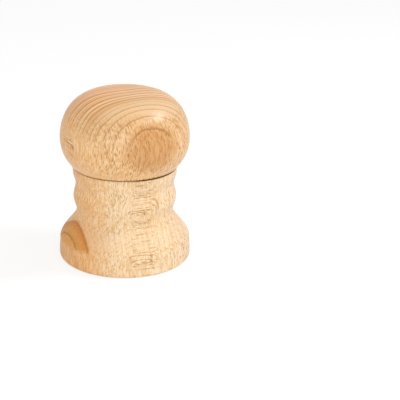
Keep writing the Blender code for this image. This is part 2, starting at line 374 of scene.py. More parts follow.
def bow_strip_mesh():
    """The bow's strip along its mid-line, thickened, with a square hole in the eye."""
    line_radius = DOME_RADIUS - BOW_TO_DOME_GAP - BOW_THICKNESS / 2
    line_top = BOW_HIGH.z - BOW_THICKNESS / 2
    bend = math.acos((line_top - DOME_CENTRE) / line_radius)
    end = math.acos((BOW_END_HEIGHT - DOME_CENTRE) / line_radius)
    bend_place = line_radius * math.sin(bend)
    reach = bend_place + line_radius * (end - bend)

    def mid_line(distance):
        if distance <= bend_place:
            return distance, line_top
        angle = bend + (distance - bend_place) / line_radius
        return line_radius * math.sin(angle), DOME_CENTRE + line_radius * math.cos(angle)

    def half_width(distance):
        to_tip = min(1.0, (reach - distance) / BOW_HALF_WIDTH)
        rounding = math.sqrt(max(0.0, 1 - (1 - to_tip) ** 2))
        arm = BOW_TIP_HALF_WIDTH + (BOW_HALF_WIDTH - BOW_TIP_HALF_WIDTH) * rounding
        return max(arm, math.sqrt(max(0.0, BOW_EYE_RADIUS**2 - distance**2)))

    eye_end = math.acos(BOW_HALF_WIDTH / BOW_EYE_RADIUS)
    arm_end = reach - BOW_HALF_WIDTH
    places = [BOW_EYE_RADIUS * math.sin(a) for a in np.linspace(0, eye_end, BOW_EYE_POINTS)]
    places += list(np.linspace(bend_place, arm_end, BOW_ARM_POINTS))
    places += [arm_end + BOW_HALF_WIDTH * math.sin(a) for a in np.radians(BOW_TIP_ANGLES)]
    places = [-place for place in places[:0:-1]] + places
    work = bmesh.new()
    sides = []
    for place in places:
        x, z = mid_line(abs(place))
        x = math.copysign(x, place)
        y = half_width(abs(place))
        sides.append([work.verts.new(Vector((x, side, z)) * MM) for side in (-y, y)])
    for (left, right), (next_left, next_right) in zip(sides, sides[1:]):
        work.faces.new((left, next_left, next_right, right))
    strip = bpy.data.objects.new("strip", finished("strip", work))
    bpy.context.scene.collection.objects.link(strip)
    sheet = strip.modifiers.new("sheet", "SOLIDIFY")
    sheet.thickness = BOW_THICKNESS * MM
    sheet.offset = 0
    sheet.use_even_offset = True
    depsgraph = bpy.context.evaluated_depsgraph_get()
    thick = bpy.data.meshes.new_from_object(strip.evaluated_get(depsgraph))
    bpy.data.objects.remove(strip)
    hole = block_mesh("hole", (BOW_HOLE, BOW_HOLE, 4 * BOW_THICKNESS), line_top, BOW_HOLE_ROUND)
    return combined(thick, hole, "DIFFERENCE", BOW_EDGE_ROUND)


def thread_cut(pitch, depth, top, base):
    """How deep a thread is cut, by height and angle. It fades out over a pitch at the top and base."""

    def cut(height, angle):
        turn = (height / pitch - angle / (2 * math.pi)) % 1.0
        groove = min(1.0, max(0.0, GROOVE_MIDDLE - GROOVE_SLOPE * abs(turn - 0.5)))
        fade = min(1.0, max(0.0, (top - height) / pitch), max(0.0, (height - base) / pitch))
        return depth * groove * groove * (3 - 2 * groove) * fade

    return cut


def spindle_mesh():
    """A pin with a button head, a square neck that drives the bow, a smooth shank and a thread."""
    radius = SPINDLE_HIGH.x
    cut = thread_cut(METRIC_PITCH, METRIC_DEPTH, SPINDLE_HIGH.z, SPINDLE_SHOULDER)
    top = [
        (0.0, SPINDLE_HIGH.z),
        (METRIC_RADIUS, SPINDLE_HIGH.z),
        (METRIC_RADIUS, SPINDLE_HIGH.z - SPINDLE_END),
    ]
    shoulder = [
        (METRIC_RADIUS, SPINDLE_SHOULDER + PLAIN_END),
        (METRIC_RADIUS, SPINDLE_SHOULDER),
        (SHANK_RADIUS, SPINDLE_SHOULDER),
        (SHANK_RADIUS, HEAD_TOP),
        (radius, HEAD_TOP),
        (radius, HEAD_TOP - HEAD_RIM),
    ]
    outline = rounded(top, SPINDLE_END_ROUND)[:-1]
    thread_rows = upright(METRIC_RADIUS, outline[-1][1], shoulder[0][1], METRIC_PITCH / THREAD_ROWS)
    outline += thread_rows
    outline += rounded(shoulder, METAL_EDGE_ROUND)
    for angle in np.linspace(0, math.pi / 2, HEAD_STEPS + 1)[1:]:
        reach = radius * math.cos(angle) if angle < math.pi / 2 else 0.0
        drop = HEAD_DROP * math.sin(angle)
        outline.append((reach, HEAD_TOP - HEAD_RIM - drop))
    threaded = set(thread_rows)

    def thread(at_radius, height, angle):
        return -cut(height, angle) if (at_radius, height) in threaded else 0.0

    pin = turned("pin", outline, SMALL_SEGMENTS, thread)
    neck_height = BOW_HIGH.z - HEAD_TOP + NECK_IN_HEAD
    neck_size = (NECK_FLATS, NECK_FLATS, neck_height)
    neck = block_mesh("neck", neck_size, BOW_HIGH.z - neck_height / 2, NECK_EDGE_ROUND)
    return combined(pin, neck, "UNION")


def washer_mesh(node, bore):
    """A flat washer with rounded edges, over a CAD node."""
    low, high = corners(node)
    middle = (bore + high.x) / 2
    outline = [
        (middle, high.z),
        (high.x, high.z),
        (high.x, low.z),
        (bore, low.z),
        (bore, high.z),
        (middle, high.z),
    ]
    return turned(node, rounded(outline, METAL_EDGE_ROUND)[:-1])


def lock_washer_mesh():
    """A split ring, swept round the axis from one slanted end to the other."""
    inner, outer = LOCK_WASHER_BORE, LOCK_HIGH.y
    low, high = LOCK_LOW.z, LOCK_HIGH.z
    middle = (low + high) / 2
    ring = [(outer, middle), (outer, low), (inner, low), (inner, high), (outer, high), (outer, middle)]
    section = rounded(ring, METAL_EDGE_ROUND)[:-1]
    work = bmesh.new()
    rows = []
    for share in np.linspace(0, 1, SMALL_SEGMENTS + 1):
        row = []
        for radius, height in section:
            slant = (height - middle) * math.tan(LOCK_WASHER_SLANT)
            start = (LOCK_WASHER_SLIT / 2 - slant) / radius
            end = 2 * math.pi - (LOCK_WASHER_SLIT / 2 + slant) / radius
            angle = start + (end - start) * share
            place = Vector((radius * math.cos(angle), radius * math.sin(angle), height))
            row.append(work.verts.new(place * MM))
        rows.append(row)
    for before, after in zip(rows, rows[1:]):
        for i, j in zip(range(len(section)), list(range(1, len(section))) + [0]):
            work.faces.new((before[i], after[i], after[j], before[j]))
    work.faces.new(rows[0])
    work.faces.new(reversed(rows[-1]))
    bmesh.ops.recalc_face_normals(work, faces=work.faces)
    return finished("spring", work)


def insert_mesh():
    """A flanged sleeve. Its inner thread is in step with the spindle's, and its outer one is coarse."""
    bore = METRIC_RADIUS + METRIC_PLAY
    flange_top = INSERT_LOW.z + INSERT_FLANGE_THICKNESS
    bore_edge = bore + INSERT_BORE_CHAMFER
    inner_cut = thread_cut(
        METRIC_PITCH, METRIC_DEPTH, INSERT_HIGH.z + METRIC_PITCH, INSERT_LOW.z - METRIC_PITCH
    )
    outer_cut = thread_cut(WOOD_THREAD_PITCH, WOOD_THREAD_DEPTH, INSERT_HIGH.z, flange_top)
    outer_rows = upright(
        INSERT_RADIUS, INSERT_HIGH.z - PLAIN_END, flange_top + PLAIN_END, WOOD_THREAD_PITCH / THREAD_ROWS
    )
    inner_rows = upright(
        bore,
        INSERT_LOW.z + INSERT_PLAIN_BORE,
        INSERT_HIGH.z - INSERT_PLAIN_BORE,
        METRIC_PITCH / THREAD_ROWS,
    )
    top = [
        (bore_edge, INSERT_HIGH.z),
        (INSERT_RADIUS, INSERT_HIGH.z),
        (INSERT_RADIUS, INSERT_HIGH.z - PLAIN_END),
    ]
    flange = [
        (INSERT_RADIUS, flange_top + PLAIN_END),
        (INSERT_RADIUS, flange_top),
        (INSERT_HIGH.x, flange_top),
        (INSERT_HIGH.x, INSERT_LOW.z),
        (bore_edge, INSERT_LOW.z),
    ]
    outline = rounded(top, METAL_EDGE_ROUND) + outer_rows + rounded(flange, METAL_EDGE_ROUND) + inner_rows
    outer_set, inner_set = set(outer_rows), set(inner_rows)

    def thread(radius, height, angle):
        if (radius, height) in outer_set:
            return -outer_cut(height, angle)
        return -inner_cut(height, angle) if (radius, height) in inner_set else 0.0

    return turned("sleeve", outline, SMALL_SEGMENTS, thread)


# Materials


class Graph:
    """A material's nodes. A value that a call takes is a number, a tuple or another node's output."""

    def __init__(self, name):
        self.material = bpy.data.materials.new(name)
        self.material.use_nodes = True
        self.nodes = self.material.node_tree.nodes
        self.links = self.material.node_tree.links
        self.shader = self.nodes["Principled BSDF"]
        self.output = self.nodes["Material Output"]

    def put(self, socket, value):
        if isinstance(value, bpy.types.NodeSocket):
            self.links.new(value, socket)
        else:
            socket.default_value = value

    def surface(self, name, value):
        self.put(self.shader.inputs[name], value)

    def coordinates(self, name):
        return self.nodes.new("ShaderNodeTexCoord").outputs[name]

    def place(self):
        """The point on the piece, in millimetres."""
        return self.scaled(self.coordinates("Object"), 1 / MM)

    def math(self, operation, *values):
        node = self.nodes.new("ShaderNodeMath")
        node.operation = operation
        for socket, value in zip(node.inputs, values):
            self.put(socket, value)
        return node.outputs[0]

    def product(self, *values):
        result = values[0]
        for value in values[1:]:
            result = self.math("MULTIPLY", result, value)
        return result

    def vector(self, operation, *values):
        """A vector operation. Its result is a number for LENGTH and DOT_PRODUCT."""
        node = self.nodes.new("ShaderNodeVectorMath")
        node.operation = operation
        for socket, value in zip(node.inputs, values):
            self.put(socket, value)
        return node.outputs["Value" if operation in ("LENGTH", "DOT_PRODUCT") else "Vector"]

    def scaled(self, vector, factor):
        node = self.nodes.new("ShaderNodeVectorMath")
        node.operation = "SCALE"
        self.put(node.inputs[0], vector)
        self.put(node.inputs["Scale"], factor)
        return node.outputs["Vector"]

    def stretched(self, vector, x, y, z):
        return self.vector("MULTIPLY", vector, (x, y, z))

    def fibrous(self, vector, across, along):
        """The vector scaled across the fibres, which run up, and along them."""
        return self.stretched(vector, across, across, along)

    def radius(self, place):
        """How far a place is from the turning axis."""
        return self.vector("LENGTH", self.stretched(place, 1.0, 1.0, 0.0))

    def toward(self, place, azimuth):
        """How far a place lies towards an azimuth."""
        return self.vector("DOT_PRODUCT", place, tuple(facing(azimuth)))

    def combine(self, x, y, z):
        node = self.nodes.new("ShaderNodeCombineXYZ")
        for socket, value in zip(node.inputs, (x, y, z)):
            self.put(socket, value)
        return node.outputs[0]

    def axis(self, vector, index):
        node = self.nodes.new("ShaderNodeSeparateXYZ")
        self.put(node.inputs[0], vector)
        return node.outputs[index]

    def turned_level(self, vector, degrees):
        """The vector turned round +Z."""
        node = self.nodes.new("ShaderNodeVectorRotate")
        node.rotation_type = "Z_AXIS"
        self.put(node.inputs["Vector"], vector)
        node.inputs["Angle"].default_value = math.radians(degrees)
        return node.outputs[0]

    def ease(self, value, low, high, start=0.0, end=1.0):
        """Goes smoothly from start to end as the value goes from low to high."""
        node = self.nodes.new("ShaderNodeMapRange")
        node.interpolation_type = "SMOOTHSTEP"
        for socket, number in zip(node.inputs, (value, low, high, start, end)):
            self.put(socket, number)
        return node.outputs[0]

    def noise(self, vector, detail=2.0, roughness=0.5):
        node = self.nodes.new("ShaderNodeTexNoise")
        self.put(node.inputs["Vector"], vector)
        node.inputs["Scale"].default_value = 1.0
        node.inputs["Detail"].default_value = detail
        node.inputs["Roughness"].default_value = roughness
        return node.outputs[0]

    def wander(self, vector, reach):
        """Noise from about -reach to reach. The noise itself keeps within about 0.25 of 0.5."""
        return self.math("MULTIPLY", self.math("SUBTRACT", self.noise(vector), 0.5), reach / 0.25)

    def cells(self, vector, exponent):
        """Distance to the nearest of one random point in each unit cell, and that cell's colour."""
        node = self.nodes.new("ShaderNodeTexVoronoi")
        node.distance = "MINKOWSKI"
        self.put(node.inputs["Vector"], vector)
        node.inputs["Scale"].default_value = 1.0
        node.inputs["Exponent"].default_value = exponent
        return node.outputs["Distance"], node.outputs["Color"]

    def random(self, value):
        node = self.nodes.new("ShaderNodeTexWhiteNoise")
        node.noise_dimensions = "1D"
        self.put(node.inputs["W"], value)
        return node.outputs["Value"]

    def mix(self, factor, first, second, blend="MIX"):
        """Two colours mixed. The node has other sockets for numbers and vectors."""
        node = self.nodes.new("ShaderNodeMix")
        node.data_type = "RGBA"
        node.blend_type = blend
        self.put(node.inputs[0], factor)
        self.put(node.inputs[6], first)
        self.put(node.inputs[7], second)
        return node.outputs[2]

    def tint(self, factor, colour, red, green, blue):
        """The colour, multiplied by red, green and blue as far as the factor says."""
        return self.mix(factor, colour, rgb(red, green, blue), "MULTIPLY")

    def bump(self, height, depth):
        """Relief of a height from 0 to 1 that is depth millimetres deep."""
        node = self.nodes.new("ShaderNodeBump")
        node.inputs["Distance"].default_value = depth * MM
        self.put(node.inputs["Height"], height)
        self.put(self.shader.inputs["Normal"], node.outputs[0])


def rgb(red, green, blue):
    return (red, green, blue, 1.0)


# A change of tone. Most are the wood's own colour, and the ones marked where they are listed are painted
# sheen and shade.
# The colour turns as the growth towards the wide side goes from start to end: by the share even where it
# stands upright or faces down, and by even + cross where it faces up.
Tone = namedtuple("Tone", "start end colour even cross")

# A curl in the grain: a dark arch that stands on a base height on the turned side. It is drawn from
# start on, where -1 is its left foot, 0 its top and 1 its right foot.
Curl = namedtuple("Curl", "azimuth base half_width height start strength")

# A turned block of beech, as it lay in its tree. Growth is how much farther from the pith a point is
# than the turning axis is at the middle height. On the wide side of the axis the rings get wider.
Block = namedtuple(
    "Block",
    (
        "azimuth",  # the way from the pith to the bark
        "pith_distance",  # from the pith to the turning axis at the middle height
        "lean",  # how far the pith leans, (x, y) for each millimetre up
        "middle",  # the height where that distance is measured
        "ring_width",
        "wide_side",  # 1 towards the bark, -1 towards the pith
        "wide_from",  # growth towards the wide side where the rings start to widen
        "widening",  # the share of their width that they widen by, a millimetre
        "phase",  # the share of a ring that the rings are shifted by
        "ray_turn",  # degrees from the way of growth to the rays
        "early",  # colour of early wood
        "late",  # colour of late wood
        "tones",
        "line_rise",  # shares of a ring where its dark line starts and is full
        "lines",  # growth towards the wide side where the lines are faint, and where they are full
        "bands",  # how plain the rings are on quarter-sawn wood
        "years",  # growth towards the wide side where dark years start and are full, how dark they are
        "streak",  # the tint of streaks along the fibres
        "flecks",  # how squarely rays are cut where dark flecks are full, and how dark they are there
        "flakes",  # lowest and highest place of the plainest ones, how tall each is, how dark its rim
        "curls",
        "gloss",
        "roughness",
        "seam",  # heights where the painted shade on the seam's face starts and is full
    ),
)

BODY_BLOCK = Block(
    azimuth=114.7,
    pith_distance=161.7,
    lean=(-0.027, -0.005),
    middle=25.0,
    ring_width=3.45,
    wide_side=-1,
    wide_from=18.0,
    widening=0.03,
    phase=0.1,
    ray_turn=7.0,
    early=rgb(0.965, 0.795, 0.575),
    late=rgb(0.92, 0.715, 0.465),
    tones=(
        # The first tone is painted sheen: the body turns paler towards its right, where the key light
        # falls on it.
        Tone(-6.0, -30.0, rgb(0.955, 0.82, 0.68), 0.60, 0.0),
        Tone(12.0, 36.0, rgb(0.84, 0.37, 0.05), 0.45, 0.0),
        Tone(32.4, 33.4, rgb(0.66, 0.24, 0.01), 0.12, 0.66),
        Tone(33.4, 38.6, rgb(0.84, 0.48, 0.15), 0.0, 0.42),
        Tone(38.2, 39.4, rgb(0.86, 0.53, 0.20), 0.0, 0.40),
    ),
    line_rise=(0.74, 0.88),
    lines=(29.0, 33.4),
    bands=0.45,
    years=(-60.0, -50.0, 0.22),
    streak=(0.90, 0.77, 0.58),
    flecks=(0.60, 0.62),
    flakes=(-10.0, 70.0, 1.35, 0.78),
    curls=(
        Curl(13.5, 12.6, 7.2, 2.2, -1.2, 0.60),
        Curl(14.5, 10.2, 6.3, 2.0, -1.2, 0.65),
        Curl(13.0, 39.1, 5.4, 1.8, -1.2, 0.70),
        Curl(14.0, 37.9, 4.4, 1.8, -1.2, 0.95),
        Curl(27.5, 40.0, 6.5, 7.0, 0.1, 0.55),
        Curl(27.5, 39.0, 5.0, 4.5, 0.2, 0.50),
    ),
    gloss=0.18,
    roughness=0.46,
    seam=(59.5, 60.4),
)

KNOB_BLOCK = Block(
    azimuth=24.7,
    pith_distance=220.2,
    lean=(-0.064, 0.043),
    middle=79.0,
    ring_width=2.6,
    wide_side=1,
    wide_from=25.0,
    widening=0.05,
    phase=0.29,
    ray_turn=16.0,
    early=rgb(0.93, 0.65, 0.37),
    late=rgb(0.78, 0.44, 0.16),
    tones=(
        Tone(12.0, 24.0, rgb(0.56, 0.39, 0.24), 0.0, 0.22),
        # The next two tones are painted shade: the knob turns darker and more orange away from its
        # front-right, most on its left and back.
        Tone(22.0, -12.0, rgb(0.90, 0.38, 0.0), 0.58, -0.14),
        Tone(22.0, -12.0, rgb(0.62, 0.36, 0.14), 0.20, -0.20),
        Tone(36.0, 40.4, rgb(0.60, 0.26, 0.05), 0.58, 0.0),
    ),
    line_rise=(0.82, 0.93),
    lines=(-60.0, -50.0),
    bands=0.20,
    years=(30.0, 14.0, 1.0),
    streak=(0.87, 0.74, 0.55),
    flecks=(0.95, 0.95),
    flakes=(75.5, 83.0, 2.8, 0.5),
    curls=(
        Curl(-63.5, 78.7, 9.8, 2.9, -0.1, 0.95),
        Curl(-64.0, 82.8, 8.0, 1.2, 0.0, 0.70),
        Curl(-60.0, 73.7, 5.5, 1.9, 0.1, 0.75),
    ),
    gloss=0.45,
    roughness=0.31,
    seam=(61.6, 60.8),
)

# A range for Graph.ease is (low, high), which goes from 0 to 1, or (low, high, start, end).
# A pair of scales for Graph.fibrous is (across the fibres, along them).

# How the growth wavers, slowly and quickly, and how far in millimetres
SLOW_WAVES = (0.035, 0.012)
SLOW_WAVE_REACH = 0.5
QUICK_WAVES = (0.25, 0.10)
QUICK_WAVE_REACH = 0.12

# Rings. Seasons shift them by a share of a ring. The ranges are over the share of a ring's width, how
# plain the rings are, how far the surface faces up, and how squarely it cuts the rays.
SEASON_SCALE = 0.11
SEASON_REACH = 0.12
LATE_WOOD = (0.30, 0.95)
LATE_WOOD_SHARE = (0.0, 1.0, 0.08, 0.35)
RINGS_FACING_UP = (0.12, 0.45, 0.02, 1.0)
RINGS_FACING_DOWN = (-0.75, -0.95, 0.0, 0.8)
BANDS_CUT = (0.1, 0.75)

# A ring's dark line: where it ends in its ring, how strong it is by chance, and along the streaks
RING_LINE_END = (0.985, 1.0, 1.0, 0.0)
RING_LINE_COLOUR = rgb(0.44, 0.20, 0.06)
LINE_STRENGTHS = (0.0, 1.0, 0.65, 1.0)
LINE_IN_STREAKS = (0.3, 0.6, 0.6, 1.0)
FAINT_LINE = 0.2

# Tones and dark years, over how far the surface faces up, and over the noise of the years
TONE_FACING_UP = (0.0, 0.70)
YEAR_SCALE = 0.42
YEARS_FACING_UP = (0.2, 0.9, 0.05, 1.0)
DARK_YEARS = (0.44, 0.56)
YEAR_TINT = (0.76, 0.46, 0.17)

# Slow drifts of tone, streaks and pores: the scales of their noise, and ranges over it
DRIFT = (0.045, 0.015)
DRIFT_SHARE = (0.35, 0.65, 0.0, 0.35)
DRIFT_TINT = (1.04, 0.93, 0.80)
STREAKS = (1.1, 0.14)
STREAK_SHARE = (0.40, 0.60)
PORES = (4.0, 0.3)
PORE_SHARE = (0.3, 0.7, 0.0, 0.5)
PORE_TINT = (0.90, 0.82, 0.72)

# Rays: how long each cell is along the growth, round the pith and up, and how big a ray in it is
BROAD_RAYS = (40.0, 0.43, 3.4)
BROAD_RAY_SIZE = 0.38
FINE_RAYS = (12.0, 0.36, 1.9)
FINE_RAY_SIZE = 0.36
FLAKE_LENGTH = 40.0
FLAKE_THICKNESS = 1.7
FLAKE_SIZE = 0.46

# A ray has from LEAST_RAY to LEAST_RAY + RAY_SPREAD of its full size, and swerves by a share of a cell
LEAST_RAY = 0.6
RAY_SPREAD = 0.8
RAY_POINTEDNESS = 1.35
RAY_SWERVE_ALONG = 0.05
RAY_SWERVE_UP = 0.09
RAY_SWERVE_REACH = 0.5
RAY_COLOUR = rgb(0.44, 0.18, 0.03)
SILVER_COLOUR = rgb(0.95, 0.76, 0.52)

# How plain rays are, over how squarely the surface cuts them
FLECKS_CUT_FROM = 0.08
FAINT_FLECK = 0.12
FINE_RAYS_CUT = (0.05, 0.9, 0.05, 0.40)
QUARTER_SAWN = (0.10, 0.27, 1.0, 0.0)

# Over how far inside a ray a point is: its inside, and the outer and inner side of its rim
RAY_INSIDE = (0.0, 0.07)
RAY_RIM = ((-0.06, 0.0), (0.05, 0.14, 1.0, 0.0))
RAY_RIM_SHARE = 0.7
RAY_SILVER = 0.40
FLAKE_INSIDE = (0.03, 0.12)
FLAKE_RIM = ((-0.08, 0.0), (0.03, 0.12, 1.0, 0.0))
FLAKE_SILVER = 0.45

# Outside the heights of the plainest flakes they fade to faint
FLAKE_FADE = 3.0
FAINT_FLAKE = 0.5

# Curls: how square an arch is, the inner and outer side of its line, where it rises from its base,
# over what share of its half width it starts, how far from the axis it shows, and how it wobbles
CURL_SQUARENESS = 3.0
CURL_LINE = ((0.55, 0.90), (1.10, 1.45, 1.0, 0.0))
CURL_FOOT = (-0.3, 0.1)
CURL_START = 0.4
CURL_DISTANCE = (26.0, 29.0)
CURL_WOBBLE_SCALE = 0.5
CURL_WOBBLE_REACH = 0.12

# Painted shade in the seam's gap: on its outer part, and the most towards its shaded side
SEAM_SHADE_COLOUR = rgb(0.19, 0.065, 0.015)
SEAM_SHADE_DISTANCE = (26.0, 31.0)
SEAM_SHADED_SIDE = 75.0
SEAM_SHADE_STRENGTH = (10.0, 33.0, 0.50, 2.6)

# The wood's surface. End grain, which faces up or down, shows less of the streaks and rays. The wood
# is smoother where pores and rays are plain, and its relief takes a share of each.
SIDE_GRAIN = (0.45, 0.85, 1.0, 0.12)
DULLNESS = (0.3, 1.5, 0.03, -0.03)
WOOD_IOR = 1.5
PORE_RELIEF = 0.6
RAY_RELIEF = 0.4
WOOD_RELIEF_DEPTH = 0.02

# Metals as (colour, roughness), the scales of their fine lines and cloudy wear, and ranges over these
STRIP_STEEL = ((0.62, 0.61, 0.59), 0.30)
TURNED_STEEL = ((0.62, 0.61, 0.59), 0.26)
ZINC = ((0.66, 0.67, 0.68), 0.40)
BRASS = ((0.72, 0.53, 0.25), 0.30)
TURNED_LINES = 5.0
STRIP_LINES = (0.06, 7.0, 0.06)
CLOUDS = 0.15
LINE_TINT = (0.8, 0.8, 0.8)
LINE_TINT_SHARE = (0.25, 0.75, 0.0, 0.6)
LINE_WEAR = (0.2, 0.8, -0.06, 0.08)
CLOUD_WEAR = (0.3, 0.7, -0.03, 0.03)
METAL_RELIEF_DEPTH = 0.006

# Where a point lies in its tree: its growth, its way round the pith, its height, and its ray's way
Spot = namedtuple("Spot", "place growth round_pith height ray_way")


def tree_spot(g, block):
    place = g.place()
    height = g.axis(place, 2)
    growth_way = facing(block.azimuth)
    across_way = Vector((0, 0, 1)).cross(growth_way)
    lean = Vector((*block.lean, 0))
    pith = -block.pith_distance * growth_way - block.middle * lean
    risen = g.stretched(g.combine(height, height, height), -lean.x, -lean.y, -1.0)
    from_pith = g.vector("SUBTRACT", g.vector("ADD", place, risen), tuple(pith))
    slow = g.wander(g.fibrous(place, *SLOW_WAVES), SLOW_WAVE_REACH)
    quick = g.wander(g.fibrous(place, *QUICK_WAVES), QUICK_WAVE_REACH)
    distance = g.math("SUBTRACT", g.vector("LENGTH", from_pith), block.pith_distance)
    growth = g.math("ADD", distance, g.math("ADD", slow, quick))
    ray_way = g.turned_level(g.vector("NORMALIZE", from_pith), block.ray_turn)
    along = g.vector("DOT_PRODUCT", from_pith, tuple(growth_way))
    across = g.vector("DOT_PRODUCT", from_pith, tuple(across_way))
    round_axis = g.math("MULTIPLY", g.math("ARCTAN2", across, along), block.pith_distance)
    ray_slip = g.math("MULTIPLY", distance, -math.tan(math.radians(block.ray_turn)))
    return Spot(place, growth, g.math("ADD", round_axis, ray_slip), height, ray_way)


def ring_count(g, block, growth):
    """How many rings lie between the axis and a point, which is a whole number at a ring's end."""
    side = g.math("MULTIPLY", growth, block.wide_side)
    even = g.math("MINIMUM", side, block.wide_from)
    past = g.math("MAXIMUM", g.math("SUBTRACT", side, block.wide_from), 0.0)
    grown = g.math("MULTIPLY_ADD", past, block.widening, 1.0)
    wide = g.math("DIVIDE", g.math("LOGARITHM", grown, math.e), block.widening)
    count = g.math("DIVIDE", g.math("ADD", even, wide), block.ring_width)
    seasons = g.wander(g.combine(g.math("MULTIPLY", growth, SEASON_SCALE), 0.0, 0.0), SEASON_REACH)
    return g.math("MULTIPLY", g.math("ADD", g.math("ADD", count, block.phase), seasons), block.wide_side)


def ring_colour(g, block, spot, up, flat_sawn):
    """Growth rings and tones. Rings are plain where the surface slants up or faces down.

    Also gives the strength of the rings' dark lines.
    """
    count = ring_count(g, block, spot.growth)
    share = g.math("FRACT", count)
    late = g.ease(share, *LATE_WOOD)
    slants = g.math("ADD", g.ease(up, *RINGS_FACING_UP), g.ease(up, *RINGS_FACING_DOWN))
    shows = g.math("MAXIMUM", slants, g.ease(flat_sawn, *BANDS_CUT, block.bands, 0.0))
    colour = g.mix(g.product(late, g.ease(shows, *LATE_WOOD_SHARE)), block.early, block.late)
    side = g.math("MULTIPLY", spot.growth, block.wide_side)
    for tone in block.tones:
        turned_share = g.ease(up, *TONE_FACING_UP, tone.even, tone.even + tone.cross)
        colour = g.mix(g.product(g.ease(side, tone.start, tone.end), turned_share), colour, tone.colour)

    years = g.noise(g.combine(g.math("MULTIPLY", spot.growth, YEAR_SCALE), 0.0, 0.0), detail=1.0)
    start, end, most = block.years
    dark_years = g.product(g.ease(years, *DARK_YEARS), g.ease(up, *YEARS_FACING_UP))
    colour = g.tint(g.product(dark_years, g.ease(side, start, end, 0.0, most)), colour, *YEAR_TINT)

    line = g.product(g.ease(share, *block.line_rise), g.ease(share, *RING_LINE_END))
    strength = g.ease(g.random(g.math("FLOOR", count)), *LINE_STRENGTHS)
    near = g.ease(side, *block.lines, FAINT_LINE, 1.0)
    return colour, g.product(line, shows, strength, near)


def streaked(g, block, spot, colour, side_grain):
    """Slow drifts of tone, streaks along the fibres and fine pores. Also gives the streaks and pores."""
    drift = g.noise(g.fibrous(spot.place, *DRIFT), detail=3.0)
    colour = g.tint(g.ease(drift, *DRIFT_SHARE), colour, *DRIFT_TINT)
    streaks = g.noise(g.fibrous(spot.place, *STREAKS), detail=2.0, roughness=0.6)
    colour = g.tint(g.product(g.ease(streaks, *STREAK_SHARE), side_grain), colour, *block.streak)
    pores = g.noise(g.fibrous(spot.place, *PORES), detail=3.0, roughness=0.6)
    colour = g.tint(g.ease(pores, *PORE_SHARE), colour, *PORE_TINT)
    return colour, streaks, pores


def rays(g, spot, cell, size):
    """How far inside a ray a point is, from below 0 outside to about the size at the ray's middle."""
    cell_length, cell_width, cell_height = cell
    swerve_along = g.math("MULTIPLY", spot.growth, RAY_SWERVE_ALONG)
    swerve_up = g.math("MULTIPLY", spot.height, RAY_SWERVE_UP)
    swerve = g.wander(g.combine(swerve_along, 0.0, swerve_up), RAY_SWERVE_REACH)
    along = g.math("DIVIDE", spot.growth, cell_length)
    across = g.math("ADD", g.math("DIVIDE", spot.round_pith, cell_width), swerve)
    risen = g.math("DIVIDE", spot.height, cell_height)
    distance, colour = g.cells(g.combine(along, across, risen), RAY_POINTEDNESS)
    reach = g.math("MULTIPLY_ADD", g.axis(colour, 0), size * RAY_SPREAD, size * LEAST_RAY)
    return g.math("SUBTRACT", reach, distance)


def rim(g, depth, sides):
    """The band between two sides, over a depth."""
    outer, inner = sides
    return g.product(g.ease(depth, *outer), g.ease(depth, *inner))


def ray_colour(g, block, spot, colour, flat_sawn, side_grain):
    """Rays: dark spindles on flat-sawn wood, pale flakes with dark edges on quarter-sawn wood.

    Also gives the inside of the broad rays.
    """
    broad = rays(g, spot, BROAD_RAYS, BROAD_RAY_SIZE)
    fine = rays(g, spot, FINE_RAYS, FINE_RAY_SIZE)
    inside = g.ease(broad, *RAY_INSIDE)
    square, most = block.flecks
    fleck = g.product(inside, g.ease(flat_sawn, FLECKS_CUT_FROM, square, FAINT_FLECK, most), side_grain)
    colour = g.mix(fleck, colour, RAY_COLOUR)
    low, high, flake_height, rim_strength = block.flakes
    zone_low = g.ease(spot.height, low - FLAKE_FADE, low, FAINT_FLAKE)
    zone_high = g.ease(spot.height, high, high + FLAKE_FADE, 1.0, FAINT_FLAKE)
    quarter = g.product(g.ease(flat_sawn, *QUARTER_SAWN), side_grain, g.product(zone_low, zone_high))
    colour = g.mix(g.product(inside, quarter, RAY_SILVER), colour, SILVER_COLOUR)
    edge = rim(g, broad, RAY_RIM)
    colour = g.mix(g.product(edge, quarter, rim_strength, RAY_RIM_SHARE), colour, RAY_COLOUR)
    flake = rays(g, spot, (FLAKE_LENGTH, FLAKE_THICKNESS, flake_height), FLAKE_SIZE)
    colour = g.mix(g.product(g.ease(flake, *FLAKE_INSIDE), quarter, FLAKE_SILVER), colour, SILVER_COLOUR)
    colour = g.mix(g.product(rim(g, flake, FLAKE_RIM), quarter, rim_strength), colour, RAY_COLOUR)
    fine_share = g.product(g.ease(fine, *RAY_INSIDE), g.ease(flat_sawn, *FINE_RAYS_CUT), side_grain)
    return g.mix(fine_share, colour, RAY_COLOUR), inside


def curl_share(g, block, spot):
    """How dark the curls are at a point."""
    wobble = g.wander(g.scaled(spot.place, CURL_WOBBLE_SCALE), CURL_WOBBLE_REACH)
    result = 0.0
    for curl in block.curls:
        across = g.math("DIVIDE", g.toward(spot.place, curl.azimuth + 90), curl.half_width)
        risen = g.math("DIVIDE", g.math("SUBTRACT", spot.height, curl.base), curl.height)
        powers = [g.math("POWER", g.math("ABSOLUTE", way), CURL_SQUARENESS) for way in (across, risen)]
        reach = g.math("ADD", g.math("ADD", *powers), wobble)
        begun = g.ease(across, curl.start, curl.start + CURL_START)
        drawn = g.product(g.ease(risen, *CURL_FOOT), begun)
        near = g.ease(g.toward(spot.place, curl.azimuth), *CURL_DISTANCE)
        dark = g.product(rim(g, reach, CURL_LINE), drawn, near, curl.strength)
        result = g.math("MAXIMUM", result, dark)
    return result


def seam_shade_share(g, block, spot):
    """How strong the painted shade in the seam is at a point."""
    face = g.ease(spot.height, *block.seam)
    outer = g.ease(g.radius(spot.place), *SEAM_SHADE_DISTANCE)
    strength = g.ease(g.toward(spot.place, SEAM_SHADED_SIDE), *SEAM_SHADE_STRENGTH)
    return g.product(face, outer, strength)


